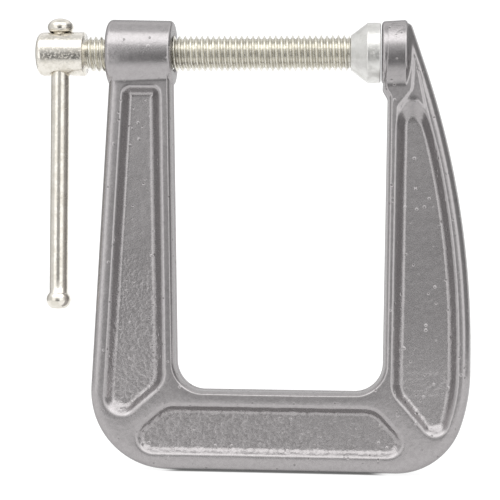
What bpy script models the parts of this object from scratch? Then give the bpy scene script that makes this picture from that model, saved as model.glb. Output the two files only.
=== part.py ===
"""Deep-throat C clamp: a cast frame, a screw spindle, a sliding handle bar and a swivel pad.

X runs along the screw towards the anvil, Y through the casting's parting plane and Z up.
The origin is the middle of the flat foot, below the middle of the jaw gap.
"""
import math

import bmesh
import bpy
from mathutils import Vector

MM = 0.001

# Clearances between pieces
CLEARANCE = 0.3 * MM
CLOSED_GAP = 0.3 * MM

# Frame, main sizes
JAW_GAP = 58.1 * MM
THROAT_DEPTH = 94.0 * MM
SPINE_HEIGHT = 22.75 * MM
FRAME_THICKNESS = 11.0 * MM
THROAT_RADIUS = 7.8 * MM
HEEL_RADIUS = 22.0 * MM
TOE_RADIUS = 19.0 * MM

# Frame, arm on the screw side
SCREW_ARM_WIDTH = 17.7 * MM
SCREW_ARM_FOOT_REACH = 23.95 * MM
SCREW_ARM_INNER_LEAN = 1.8 * MM
BOSS_LENGTH = 18.4 * MM
BOSS_DIAMETER = 18.7 * MM
BOSS_TAPER = 0.4 * MM
BOSS_BACK_ROUND = 1.4 * MM
JAW_EDGE_ROUND = 1.0 * MM

# Frame, arm on the anvil side
ANVIL_ARM_WIDTH = 10.9 * MM
ANVIL_ARM_REACH = 25.1 * MM
ANVIL_ARM_LEAN = math.radians(18.7)
ANVIL_ARM_SWEEP_RADIUS = 245.0 * MM
TOE_HEIGHT = 21.0 * MM
TOE_LEAN = math.radians(18.0)
TOE_SWEEP_RADIUS = 48.0 * MM
ANVIL_RELIEF = 1.7 * MM
ANVIL_RELIEF_DROP = 14.0 * MM
SHOULDER_RADIUS = 1.3 * MM
ANVIL_LENGTH = 7.1 * MM
ANVIL_DIAMETER = 17.7 * MM
ANVIL_TAPER = 0.3 * MM

# Frame, casting edges and recessed panels
EDGE_HEIGHT = 2.2 * MM
OUTER_EDGE_RUN = 2.4 * MM
INNER_EDGE_RUN = 1.3 * MM
FOOT_EDGE_RUN = 2.1 * MM
PANEL_DEPTH = 2.8 * MM
OUTER_WALL_RUN = 2.4 * MM
INNER_WALL_RUN = 3.1 * MM
END_WALL_RUN = 2.0 * MM
FOOT_WALL_RUN = 2.5 * MM
RAMP_RUN = 4.0 * MM
TIP_DEPTH = 0.9 * MM
TIP_RISE = 2.0 * MM

# Spindle
SCREW_DIAMETER = 9.9 * MM
THREAD_PITCH = 25.4 / 16 * MM
THREAD_DEPTH = 0.95 * MM
NECK_DIAMETER = 8.2 * MM
SCREW_HEAD_DIAMETER = 12.3 * MM
SCREW_HEAD_LENGTH = 13.75 * MM
HEAD_STAND_OFF = 7.2 * MM
HEAD_BACK_ROUND = 1.1 * MM
HEAD_NECK_LENGTH = 1.4 * MM
TIP_NECK_LENGTH = 0.5 * MM
BALL_DIAMETER = 6.8 * MM
BALL_NECK_DIAMETER = 4.6 * MM

# Swivel pad
PAD_DIAMETER = 16.6 * MM
PAD_RIM_LENGTH = 3.6 * MM
PAD_SKIRT_LENGTH = 4.65 * MM
PAD_SKIRT_DIAMETER = 9.7 * MM
PAD_FACE_WALL = 1.2 * MM
PAD_EDGE_ROUND = 0.4 * MM

# Handle bar
BAR_DIAMETER = 5.2 * MM
BAR_SPAN = 77.0 * MM
BAR_END_DIAMETER = 7.4 * MM
BAR_END_HEIGHT = 5.1 * MM
BAR_FOOT_DIAMETER = 6.9 * MM
BAR_FOOT_HEIGHT = 6.0 * MM
BAR_FOOT_FLAT = 3.8 * MM
BAR_HOLE_CHAMFER = 0.5 * MM

# Widths of the flat rims left round the recessed panels
SCREW_ARM_OUTER_RIM = 5.0 * MM
SCREW_ARM_INNER_RIM = 3.2 * MM
PANEL_BOSS_GAP = 0.4 * MM
SPINE_TOP_RIM = 4.3 * MM
SPINE_FOOT_RIM = 5.0 * MM
ANVIL_ARM_OUTER_RIM = 4.2 * MM
ANVIL_ARM_INNER_RIM = 2.6 * MM
HEEL_BAND_WIDTH = 4.65 * MM
HEEL_BAND_LIFT = 1.1 * MM
HEEL_BAND_ANGLE = math.radians(41.0)
TOE_BAND_WIDTH = 6.0 * MM
TOE_BAND_ANGLE = math.radians(131.5)
TOE_BAND_DROP = 1.6 * MM
PANEL_SWEEP_SHORT = math.radians(4.2)
PANEL_THROAT_RADIUS = 7.2 * MM
PANEL_CORNER_RADIUS = 4.6 * MM
SPINE_PANEL_RADIUS = 3.4 * MM
PANEL_END_RADIUS = 2.2 * MM

# How far cutters run past what they cut, as a length and as a share of a panel's depth
CUTTER_REACH = 2.0 * MM
CUTTER_SHARE = 0.2

# Facets: the largest gap between an arc and its chords, and the sides of turned pieces and of the thread
ARC_GAP = 0.05 * MM
ARC_ROOM = 0.99
TURNED_SIDES = 40
THREAD_SIDES = 20
EDGE_STEPS = 3
BALL_STEPS = 8
SMALL_RADIUS = 0.3 * MM
MERGE_DISTANCE = 0.001 * MM
SMOOTH_ANGLE = math.radians(35.0)

# Places worked out from the sizes above
SCREW_HEIGHT = SPINE_HEIGHT + THROAT_DEPTH
HALF_THICKNESS = FRAME_THICKNESS / 2
BOSS_FACE = -JAW_GAP / 2
BOSS_BACK = BOSS_FACE - BOSS_LENGTH
ANVIL_FACE = JAW_GAP / 2
PAD_LENGTH = PAD_RIM_LENGTH + PAD_SKIRT_LENGTH
PAD_FACE = ANVIL_FACE - CLOSED_GAP
PAD_BACK = PAD_FACE - PAD_LENGTH
HEAD_FACE = BOSS_BACK - HEAD_STAND_OFF
HEAD_BACK = HEAD_FACE - SCREW_HEAD_LENGTH
HEAD_MIDDLE = (HEAD_FACE + HEAD_BACK) / 2
BALL_CENTRE = PAD_FACE - PAD_FACE_WALL - CLEARANCE - BALL_DIAMETER / 2
BAR_HOLE_SHARE = (BAR_DIAMETER + 2 * CLEARANCE) / BAR_END_DIAMETER
BAR_SEAT_RISE = BAR_END_HEIGHT / 2 * math.sqrt(1 - BAR_HOLE_SHARE ** 2) + CLEARANCE
BAR_SEAT = SCREW_HEAD_DIAMETER / 2 - BAR_HOLE_CHAMFER + BAR_SEAT_RISE


class Corner:
    """A corner of an outline: its point, its rounding, and how far the edge that leaves it leans inwards."""

    def __init__(self, point, radius, run):
        self.point = Vector(point)
        self.radius = radius
        self.run = run


def line_through(start, end, shift=0.0):
    """A line as a point and a direction, moved to its left by shift."""
    direction = (Vector(end) - Vector(start)).normalized()
    left = Vector((-direction.y, direction.x))
    return Vector(start) + left * shift, direction


def meet(first, second):
    """The point where two lines cross."""
    (p, d), (q, e) = first, second
    along = (q - p).cross(e) / d.cross(e)
    return p + d * along


def level(height):
    """A line that runs along X at one height."""
    return Vector((0.0, height)), Vector((1.0, 0.0))


def turn_at(corners, i):
    """How far an outline turns at a corner, to the left when positive."""
    arriving = corners[i].point - corners[i - 1].point
    leaving = corners[(i + 1) % len(corners)].point - corners[i].point
    return math.atan2(arriving.cross(leaving), arriving.dot(leaving))


def fitted(corners):
    """The same outline with each rounding limited to the room that its two edges have for it."""
    count = len(corners)
    reach = [corner.radius * math.tan(abs(turn_at(corners, i)) / 2) for i, corner in enumerate(corners)]
    room = []
    for i, corner in enumerate(corners):
        length = (corners[(i + 1) % count].point - corner.point).length
        room.append(ARC_ROOM * length / (reach[i] + reach[(i + 1) % count]))
    return [Corner(corner.point, corner.radius * min(1.0, room[i - 1], room[i]), corner.run)
            for i, corner in enumerate(corners)]


def leans(corners, share):
    """The same outline with each edge moved inwards by its run times share. Corners run anticlockwise."""
    count = len(corners)
    edges = []
    for i, corner in enumerate(corners):
        following = corners[(i + 1) % count]
        edges.append(line_through(corner.point, following.point, corner.run * share))
    moved = []
    for i, corner in enumerate(corners):
        step = (corners[i - 1].run + corner.run) / 2 * share
        radius = max(corner.radius - math.copysign(step, turn_at(corners, i)), SMALL_RADIUS)
        moved.append(Corner(meet(edges[i - 1], edges[i]), radius, corner.run))
    return fitted(moved)


def arc_steps(corners):
    """How many chords each rounded corner of an outline needs."""
    steps = []
    for i, corner in enumerate(corners):
        chord = 2 * math.acos(1 - min(ARC_GAP / corner.radius, 1.0))
        steps.append(max(2, math.ceil(abs(turn_at(corners, i)) / chord)))
    return steps


def rounded(corners, steps):
    """The points of an outline whose corners are tangent arcs."""
    points = []
    for i, corner in enumerate(corners):
        arriving = (corner.point - corners[i - 1].point).normalized()
        turn = turn_at(corners, i)
        reach = corner.radius * math.tan(abs(turn) / 2)
        inward = Vector((-arriving.y, arriving.x)) * math.copysign(1.0, turn)
        centre = corner.point - arriving * reach + inward * corner.radius
        for k in range(steps[i] + 1):
            angle = abs(turn) * k / steps[i]
            outward = arriving * math.sin(angle) - inward * math.cos(angle)
            points.append(centre + outward * corner.radius)
    return points


def new_object(name, mesh_builder, material=None):
    """An object whose mesh comes from a bmesh, with its faces turned outwards."""
    mesh = bpy.data.meshes.new(name)
    bmesh.ops.recalc_face_normals(mesh_builder, faces=mesh_builder.faces)
    mesh_builder.to_mesh(mesh)
    mesh_builder.free()
    mesh.shade_smooth()
    mesh.set_sharp_from_angle(angle=SMOOTH_ANGLE)
    if material:
        mesh.materials.append(material)
    thing = bpy.data.objects.new(name, mesh)
    bpy.context.scene.collection.objects.link(thing)
    return thing


def add_loft(builder, layers):
    """A closed body through outlines of equal point counts, each given with its place along Y."""
    rings = []
    for depth, points in layers:
        rings.append([builder.verts.new((p.x, depth, p.y)) for p in points])
    count = len(rings[0])
    for lower, upper in zip(rings, rings[1:]):
        for i in range(count):
            j = (i + 1) % count
            builder.faces.new((lower[i], lower[j], upper[j], upper[i]))
    builder.faces.new(rings[0])
    builder.faces.new(rings[-1])


def turned(name, profile, material=None, upright=False):
    """A body turned about X, or about Z when upright, from (place, radius) points that end on the axis."""
    builder = bmesh.new()
    if upright:
        points = [builder.verts.new((radius, 0.0, place)) for place, radius in profile]
        axis = (0.0, 0.0, 1.0)
    else:
        points = [builder.verts.new((place, 0.0, radius)) for place, radius in profile]
        axis = (1.0, 0.0, 0.0)
    edges = [builder.edges.new(pair) for pair in zip(points, points[1:])]
    bmesh.ops.spin(builder, geom=points + edges, cent=(0.0, 0.0, 0.0), axis=axis,
                   angle=math.tau, steps=TURNED_SIDES, use_merge=True)
    bmesh.ops.remove_doubles(builder, verts=builder.verts, dist=MERGE_DISTANCE)
    return new_object(name, builder, material)


def round_profile(centre, along, radial, start, stop, steps):
    """Profile points on an ellipse, between two angles that are measured from the axis."""
    angles = [start + (stop - start) * k / steps for k in range(steps + 1)]
    return [(centre + along * math.cos(a), radial * math.sin(a)) for a in angles]


def combine(target, tool, operation):
    """Join a tool to the target, or cut it away, and keep the tool as a wire guide."""
    tool.hide_render = True
    tool.display_type = "WIRE"
    change = target.modifiers.new(tool.name, "BOOLEAN")
    change.operation = operation
    change.solver = "EXACT"
    change.object = tool


def finish(name, colour, roughness, metallic):
    """A Principled BSDF material of one colour."""
    material = bpy.data.materials.new(name)
    material.use_nodes = True
    shader = material.node_tree.nodes["Principled BSDF"]
    shader.inputs["Base Color"].default_value = (*colour, 1.0)
    shader.inputs["Roughness"].default_value = roughness
    shader.inputs["Metallic"].default_value = metallic
    return material


def frame_outline():
    """The casting's named corners at the parting plane, anticlockwise from the heel."""
    outer, inner = OUTER_EDGE_RUN, INNER_EDGE_RUN
    boss_x = BOSS_FACE - CLEARANCE
    anvil_x = ANVIL_FACE + CLEARANCE
    toe_x = ANVIL_FACE + ANVIL_ARM_REACH
    top = SCREW_HEIGHT + ANVIL_DIAMETER / 2 - outer / 2
    relief_z = SCREW_HEIGHT - ANVIL_RELIEF_DROP
    sweep_z = SCREW_HEIGHT - (ANVIL_ARM_REACH - ANVIL_ARM_WIDTH) / math.tan(ANVIL_ARM_LEAN)
    shoulder_x = ANVIL_FACE + ANVIL_ARM_WIDTH - (top - SCREW_HEIGHT) * math.tan(ANVIL_ARM_LEAN)
    toe_base_x = toe_x - TOE_HEIGHT * math.tan(TOE_LEAN)
    corners = {
        "heel": Corner((BOSS_FACE - SCREW_ARM_FOOT_REACH, 0.0), HEEL_RADIUS, FOOT_EDGE_RUN),
        "toe_base": Corner((toe_base_x, 0.0), TOE_RADIUS, outer),
        "toe": Corner((toe_x, TOE_HEIGHT), TOE_SWEEP_RADIUS, outer),
        "sweep": Corner((toe_x, sweep_z), ANVIL_ARM_SWEEP_RADIUS, outer),
        "shoulder": Corner((shoulder_x, top), SHOULDER_RADIUS, outer),
        "anvil_top": Corner((anvil_x, top), SHOULDER_RADIUS, inner),
        "anvil_bottom": Corner((anvil_x, relief_z + 2 * ANVIL_RELIEF), SHOULDER_RADIUS, inner),
        "relief": Corner((ANVIL_FACE + ANVIL_RELIEF, relief_z), SHOULDER_RADIUS, inner),
        "anvil_throat": Corner((ANVIL_FACE + ANVIL_RELIEF / 2, SPINE_HEIGHT), THROAT_RADIUS, inner),
        "screw_throat": Corner((BOSS_FACE + SCREW_ARM_INNER_LEAN, SPINE_HEIGHT), THROAT_RADIUS, inner),
        "boss_front": Corner((boss_x, SCREW_HEIGHT), SMALL_RADIUS, 0.0),
        "boss_back": Corner((boss_x - SCREW_ARM_WIDTH, SCREW_HEIGHT), SMALL_RADIUS, outer),
    }
    return dict(zip(corners, fitted(list(corners.values()))))


def edge(outline, start, end, shift):
    """The line of one edge of the outline, moved inwards."""
    return line_through(outline[start].point, outline[end].point, shift)


def band(point, angle, shift):
    """One side of a flat band that crosses the casting's corner through a point."""
    slope = Vector((math.cos(angle), math.sin(angle)))
    return line_through(point, point + slope, shift)


def heel_band(outline, side):
    """The upper (1) or lower (-1) side of the band in the corner under the boss."""
    shift = HEEL_BAND_LIFT + side * HEEL_BAND_WIDTH / 2
    return band(outline["screw_throat"].point, HEEL_BAND_ANGLE, shift)


def toe_band(outline, side):
    """The upper (1) or lower (-1) side of the band in the corner under the anvil arm."""
    start = outline["anvil_throat"].point - Vector((0.0, TOE_BAND_DROP))
    return band(start, TOE_BAND_ANGLE, -side * TOE_BAND_WIDTH / 2)


def screw_arm_panel(outline):
    """The recess in the arm on the screw side: the boss, both edges and the heel band bound it."""
    top = level(SCREW_HEIGHT - BOSS_DIAMETER / 2 - PANEL_BOSS_GAP)
    outer = edge(outline, "boss_back", "heel", SCREW_ARM_OUTER_RIM)
    inner = edge(outline, "screw_throat", "boss_front", SCREW_ARM_INNER_RIM)
    lower = heel_band(outline, 1)
    return [
        Corner(meet(outer, lower), PANEL_CORNER_RADIUS, END_WALL_RUN),
        Corner(meet(lower, inner), PANEL_THROAT_RADIUS, INNER_WALL_RUN),
        Corner(meet(inner, top), PANEL_END_RADIUS, END_WALL_RUN),
        Corner(meet(top, outer), PANEL_END_RADIUS, OUTER_WALL_RUN),
    ]


def spine_panel(outline):
    """The recess in the spine, between the two corner bands."""
    heel = heel_band(outline, -1)
    toe = toe_band(outline, -1)
    top = level(SPINE_HEIGHT - SPINE_TOP_RIM)
    bottom = level(SPINE_FOOT_RIM)
    return [
        Corner(meet(heel, bottom), SPINE_PANEL_RADIUS, FOOT_WALL_RUN),
        Corner(meet(bottom, toe), SPINE_PANEL_RADIUS, END_WALL_RUN),
        Corner(meet(toe, top), PANEL_THROAT_RADIUS, END_WALL_RUN),
        Corner(meet(top, heel), PANEL_THROAT_RADIUS, END_WALL_RUN),
    ]


def swept_rim(outline, shift):
    """A line that touches the arm's outer sweep, moved inwards, where the panel's rim turns straight."""
    sweep = outline["sweep"]
    start_z = sweep.point.y - sweep.radius * math.tan(ANVIL_ARM_LEAN / 2)
    centre = Vector((sweep.point.x - sweep.radius, start_z))
    turn = ANVIL_ARM_LEAN - PANEL_SWEEP_SHORT
    outward = Vector((math.cos(turn), math.sin(turn)))
    touch = centre + outward * (sweep.radius - shift)
    return touch, Vector((-outward.y, outward.x))


def anvil_arm_panel(outline):
    """The deep recess in the arm on the anvil side, which follows the arm's sweep and ends in a ramp."""
    lower = edge(outline, "toe_base", "toe", ANVIL_ARM_OUTER_RIM)
    outer = edge(outline, "toe", "sweep", ANVIL_ARM_OUTER_RIM)
    upper = swept_rim(outline, ANVIL_ARM_OUTER_RIM)
    inner = edge(outline, "relief", "anvil_throat", ANVIL_ARM_INNER_RIM)
    foot = toe_band(outline, 1)
    relief_z = outline["relief"].point.y
    ramp_top = Vector((ANVIL_FACE + ANVIL_LENGTH + TIP_DEPTH, relief_z + 2 * ANVIL_RELIEF))
    return [
        Corner(meet(foot, lower), PANEL_CORNER_RADIUS, OUTER_WALL_RUN),
        Corner(meet(lower, outer), outline["toe"].radius - ANVIL_ARM_OUTER_RIM, OUTER_WALL_RUN),
        Corner(meet(outer, upper), outline["sweep"].radius - ANVIL_ARM_OUTER_RIM, OUTER_WALL_RUN),
        Corner(meet(upper, level(relief_z)), PANEL_END_RADIUS, RAMP_RUN),
        Corner(ramp_top, PANEL_END_RADIUS, RAMP_RUN),
        Corner(meet(inner, level(relief_z - 2 * ANVIL_RELIEF)), PANEL_END_RADIUS, INNER_WALL_RUN),
        Corner(meet(inner, foot), PANEL_THROAT_RADIUS, END_WALL_RUN),
    ]


def anvil_tip_panel(panel):
    """The shallow pointed recess that carries on from the anvil arm's ramp to behind the anvil."""
    outer_end, ramp_top, ramp_foot = (corner.point for corner in panel[3:6])
    apex = Vector((ramp_top.x + TIP_DEPTH, SCREW_HEIGHT + TIP_RISE))
    base = level(ramp_foot.y)
    return [
        Corner(meet(line_through(apex, ramp_top), base), SMALL_RADIUS, 0.0),
        Corner(meet(line_through(apex, outer_end), base), SMALL_RADIUS, TIP_DEPTH),
        Corner(apex, SMALL_RADIUS, TIP_DEPTH),
    ]


def panel_cutter(name, panels, depth):
    """Cutters for the recesses on both faces of the casting, with leaning walls."""
    builder = bmesh.new()
    for corners in panels:
        corners = fitted(corners)
        steps = arc_steps(corners)
        mouth = rounded(leans(corners, -CUTTER_SHARE), steps)
        floor = rounded(leans(corners, 1.0), steps)
        for side in (-1, 1):
            mouth_depth = side * (HALF_THICKNESS + depth * CUTTER_SHARE)
            floor_depth = side * (HALF_THICKNESS - depth)
            add_loft(builder, [(mouth_depth, mouth), (floor_depth, floor)])
    return new_object(name, builder)


def casting_layers(outline):
    """Outlines through the casting's thickness: square to the parting plane, then a rounded edge."""
    steps = arc_steps(outline)
    levels = [(0.0, 0.0), (HALF_THICKNESS - EDGE_HEIGHT, 0.0)]
    for k in range(1, EDGE_STEPS + 1):
        angle = math.pi / 2 * k / EDGE_STEPS
        levels.append((HALF_THICKNESS - EDGE_HEIGHT * (1 - math.sin(angle)), 1 - math.cos(angle)))
    front = [(-depth, rounded(leans(outline, share), steps)) for depth, share in reversed(levels)]
    back = [(-depth, points) for depth, points in reversed(front[:-1])]
    return front + back


def build_frame(material):
    """The casting: the C body with its panels, the boss with its bore, and the anvil."""
    outline = frame_outline()
    builder = bmesh.new()
    add_loft(builder, casting_layers(list(outline.values())))
    frame = new_object("frame", builder, material)
    anvil_panel = anvil_arm_panel(outline)
    panels = [screw_arm_panel(outline), spine_panel(outline), anvil_panel]
    combine(frame, panel_cutter("panel_cutter", panels, PANEL_DEPTH), "DIFFERENCE")
    tip = [anvil_tip_panel(anvil_panel)]
    combine(frame, panel_cutter("panel_tip_cutter", tip, TIP_DEPTH), "DIFFERENCE")
    combine(frame, build_boss(), "UNION")
    combine(frame, build_anvil(), "UNION")
    bore_radius = SCREW_DIAMETER / 2 + CLEARANCE
    bore = turned("bore_cutter", [
        (BOSS_BACK - CUTTER_REACH, 0.0),
        (BOSS_BACK - CUTTER_REACH, bore_radius),
        (BOSS_FACE + CUTTER_REACH, bore_radius),
        (BOSS_FACE + CUTTER_REACH, 0.0),
    ])
    bore.location.z = SCREW_HEIGHT
    combine(frame, bore, "DIFFERENCE")
    return frame


def rounded_end(place, radius, rounding, inward):
    """Profile points round a turned end's edge, from side to face; inward is the way to the body."""
    points = []
    for k in range(EDGE_STEPS + 1):
        angle = math.pi / 2 * k / EDGE_STEPS
        points.append((place + inward * rounding * (1 - math.sin(angle)),
                       radius - rounding * (1 - math.cos(angle))))
    return points


def barrel(name, ends, radii, roundings):
    """A slightly tapered round body along X with rounded ends, at the screw's height."""
    first = rounded_end(ends[0], radii[0], roundings[0], 1)
    second = rounded_end(ends[1], radii[1], roundings[1], -1)
    profile = [(ends[0], 0.0), *reversed(first), *second, (ends[1], 0.0)]
    body = turned(name, profile)
    body.location.z = SCREW_HEIGHT
    return body


def build_boss():
    """The boss that the screw runs through, a little larger at its back."""
    radius = BOSS_DIAMETER / 2
    return barrel("boss_tool", (BOSS_BACK, BOSS_FACE), (radius + BOSS_TAPER / 2, radius - BOSS_TAPER / 2),
                  (BOSS_BACK_ROUND, JAW_EDGE_ROUND))


def build_anvil():
    """The fixed jaw, with the flat face that the pad closes on."""
    radius = ANVIL_DIAMETER / 2
    return barrel("anvil_tool", (ANVIL_FACE, ANVIL_FACE + ANVIL_LENGTH),
                  (radius - ANVIL_TAPER / 2, radius + ANVIL_TAPER / 2), (JAW_EDGE_ROUND, JAW_EDGE_ROUND))


def thread_point(place, radius, side):
    """A point on one of the thread's sides."""
    angle = math.tau * side / THREAD_SIDES
    return place, radius * math.cos(angle), radius * math.sin(angle)


def build_thread(start, stop):
    """The thread as a closed body: crest and root are two right-handed helices with flat flanks between them.

    Past each end the lines are gathered in a small ring, which lies inside the neck there.
    """
    crest = SCREW_DIAMETER / 2
    root = crest - THREAD_DEPTH
    ring_radius = root - CLEARANCE / 2
    sides = range(THREAD_SIDES)
    builder = bmesh.new()
    first_ring = [builder.verts.new(thread_point(start - CLEARANCE, ring_radius, side)) for side in sides]
    last_ring = [builder.verts.new(thread_point(stop + CLEARANCE, ring_radius, side)) for side in sides]
    lines = []
    for i in range(-2, math.ceil(2 * (stop - start) / THREAD_PITCH) + 3):
        radius = root if i % 2 else crest
        points = []
        for side in sides:
            place = start + THREAD_PITCH * (i / 2 + side / THREAD_SIDES)
            if place <= start:
                points.append(first_ring[side])
            elif place >= stop:
                points.append(last_ring[side])
            else:
                points.append(builder.verts.new(thread_point(place, radius, side)))
        lines.append(points)
    for lower, upper, lower_end, upper_end in zip(lines, lines[1:], lines[2:], lines[3:]):
        lower = lower + lower_end[:1]
        upper = upper + upper_end[:1]
        for side in sides:
            corners = dict.fromkeys((lower[side], lower[side + 1], upper[side + 1], upper[side]))
            if len(corners) > 2:
                builder.faces.new(tuple(corners))
    builder.faces.new(first_ring)
    builder.faces.new(last_ring)
    thread = new_object("thread_tool", builder)
    thread.location.z = SCREW_HEIGHT
    return thread


def build_spindle(material, axis):
    """The screw: a head with the bar's cross hole, a neck, the threaded shank, and the ball in the pad."""
    head_radius = SCREW_HEAD_DIAMETER / 2
    neck_radius = NECK_DIAMETER / 2
    core_radius = SCREW_DIAMETER / 2 - THREAD_DEPTH - CLEARANCE
    ball_radius = BALL_DIAMETER / 2
    ball_neck_radius = BALL_NECK_DIAMETER / 2
    shoulder = PAD_BACK - CLEARANCE
    thread_start = HEAD_FACE + HEAD_NECK_LENGTH
    thread_stop = shoulder - TIP_NECK_LENGTH
    ball_start = math.pi - math.asin(ball_neck_radius / ball_radius)
    head_edge = rounded_end(HEAD_BACK, head_radius, HEAD_BACK_ROUND, 1)
    profile = [
        (HEAD_BACK, 0.0),
        *reversed(head_edge),
        (HEAD_FACE, head_radius),
        (HEAD_FACE, neck_radius),
        (thread_start, neck_radius),
        (thread_start, core_radius),
        (thread_stop, core_radius),
        (thread_stop, neck_radius),
        (shoulder, neck_radius),
        (shoulder, ball_neck_radius),
        *round_profile(BALL_CENTRE, ball_radius, ball_radius, ball_start, 0.0, BALL_STEPS),
    ]
    spindle = turned("spindle", profile, material)
    spindle.parent = axis
    combine(spindle, build_thread(thread_start, thread_stop), "UNION")
    hole_radius = BAR_DIAMETER / 2 + CLEARANCE
    mouth_radius = hole_radius + BAR_HOLE_CHAMFER
    past = head_radius + BAR_HOLE_CHAMFER
    cone = mouth_radius + BAR_HOLE_CHAMFER
    throat = head_radius - BAR_HOLE_CHAMFER
    hole = turned("bar_hole_cutter", [
        (-past, 0.0),
        (-past, cone),
        (-throat, hole_radius),
        (throat, hole_radius),
        (past, cone),
        (past, 0.0),
    ], upright=True)
    hole.location = (HEAD_MIDDLE, 0.0, SCREW_HEIGHT)
    combine(spindle, hole, "DIFFERENCE")
    return spindle


def build_pad(material, axis):
    """The swivel pad: a flat disc and a conical skirt closed in behind the screw's ball."""
    radius = PAD_DIAMETER / 2
    socket_radius = BALL_DIAMETER / 2 + CLEARANCE
    mouth_radius = BALL_NECK_DIAMETER / 2 + CLEARANCE
    mouth_angle = math.pi - math.asin(mouth_radius / socket_radius)
    socket = round_profile(BALL_CENTRE, socket_radius, socket_radius, 0.0, mouth_angle, BALL_STEPS)
    profile = [
        *socket,
        (PAD_BACK, mouth_radius),
        (PAD_BACK, PAD_SKIRT_DIAMETER / 2),
        (PAD_BACK + PAD_SKIRT_LENGTH, radius),
        *rounded_end(PAD_FACE, radius, PAD_EDGE_ROUND, -1),
        (PAD_FACE, 0.0),
    ]
    pad = turned("swivel_pad", profile, material)
    pad.parent = axis
    return pad


def build_handle_bar(material, spindle):
    """The sliding bar, upset at both ends to stay in its hole. Its upper end rests on the head."""
    bar_radius = BAR_DIAMETER / 2
    end_radius, end_half = BAR_END_DIAMETER / 2, BAR_END_HEIGHT / 2
    foot_radius, foot_half = BAR_FOOT_DIAMETER / 2, BAR_FOOT_HEIGHT / 2
    foot_centre = BAR_SEAT - BAR_SPAN
    end_turn = math.pi - math.asin(bar_radius / end_radius)
    foot_turn = math.asin(bar_radius / foot_radius)
    flat_turn = math.pi - math.asin(BAR_FOOT_FLAT / 2 / foot_radius)
    profile = [
        *round_profile(BAR_SEAT, end_half, end_radius, 0.0, end_turn, BALL_STEPS),
        *round_profile(foot_centre, foot_half, foot_radius, foot_turn, flat_turn, BALL_STEPS),
        (foot_centre + foot_half * math.cos(flat_turn), 0.0),
    ]
    bar = turned("handle_bar", profile, material, upright=True)
    bar.parent = spindle
    bar.location.x = HEAD_MIDDLE
    return bar


def build():
    """Remove what is in the scene and put the clamp together on its screw axis."""
    for thing in list(bpy.data.objects):
        bpy.data.objects.remove(thing, do_unlink=True)
    casting = finish("cast_coated_iron", (0.33, 0.32, 0.31), 0.42, 0.45)
    plated = finish("nickel_plated_steel", (0.72, 0.69, 0.62), 0.24, 1.0)
    turned_steel = finish("zinc_plated_steel", (0.76, 0.75, 0.72), 0.40, 1.0)
    axis = bpy.data.objects.new("screw_axis", None)
    axis.location.z = SCREW_HEIGHT
    bpy.context.scene.collection.objects.link(axis)
    build_frame(casting)
    spindle = build_spindle(plated, axis)
    build_handle_bar(plated, spindle)
    build_pad(turned_steel, axis)


build()
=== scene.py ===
"""Looks of a deep-throat C clamp: a coated casting, a plated screw, a sliding bar and a swivel pad.

Metres; X runs along the screw towards the anvil, Y to the back and Z up from the foot.
"""
import math

import bpy
import numpy as np
from mathutils import Matrix, Vector


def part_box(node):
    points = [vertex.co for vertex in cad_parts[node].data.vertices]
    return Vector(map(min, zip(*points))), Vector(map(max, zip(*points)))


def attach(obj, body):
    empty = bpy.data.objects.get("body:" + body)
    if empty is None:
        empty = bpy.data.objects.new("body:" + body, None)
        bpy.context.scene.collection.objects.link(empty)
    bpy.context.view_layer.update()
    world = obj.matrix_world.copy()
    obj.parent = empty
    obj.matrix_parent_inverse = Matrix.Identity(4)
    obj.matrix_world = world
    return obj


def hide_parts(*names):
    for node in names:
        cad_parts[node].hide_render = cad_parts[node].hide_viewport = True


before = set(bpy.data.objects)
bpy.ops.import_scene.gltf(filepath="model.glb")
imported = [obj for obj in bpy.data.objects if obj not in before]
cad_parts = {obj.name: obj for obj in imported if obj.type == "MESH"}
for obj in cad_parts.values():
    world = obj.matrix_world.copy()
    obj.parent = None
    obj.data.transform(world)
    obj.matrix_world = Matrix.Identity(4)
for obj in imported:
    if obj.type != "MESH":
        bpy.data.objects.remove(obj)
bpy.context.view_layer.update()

bl_info = {
    "name": "C clamp looks",
    "version": (1, 0, 0),
    "blender": (4, 5, 0),
    "location": "3D View > Sidebar > Clamp",
    "description": "Surfaces, finishes and studio of a deep-throat C clamp",
    "category": "Object",
}

MM = 0.001
FRAME_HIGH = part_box("frame")[1]
SCREW_LOW, SCREW_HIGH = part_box("spindle")
PAD_LOW, PAD_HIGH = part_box("swivel_pad")
BAR_LOW, BAR_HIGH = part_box("handle_bar")
SCREW_Z = (SCREW_LOW.z + SCREW_HIGH.z) / 2
BAR_X = (BAR_LOW.x + BAR_HIGH.x) / 2
TOE_REACH = 25.1 * MM
ANVIL_FACE = FRAME_HIGH.x - TOE_REACH
BOSS_FACE = -ANVIL_FACE


def number(name, description, default, **options):
    """A number that a user would change."""
    return bpy.props.FloatProperty(name=name, description=description, default=default, **options)


def length(name, description, size):
    """A length that a user would change, given in millimetres and kept in metres."""
    return number(name, description, size * MM, unit="LENGTH", precision=5, min=0.0)


def degrees(name, description, size):
    """An angle that a user would change, kept in radians."""
    return number(name, description, math.radians(size), subtype="ANGLE")


def colour(name, description, default):
    """A colour that a user would change."""
    return bpy.props.FloatVectorProperty(name=name, description=description, default=default,
                                         subtype="COLOR", size=3, min=0.0, max=1.0)


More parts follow.
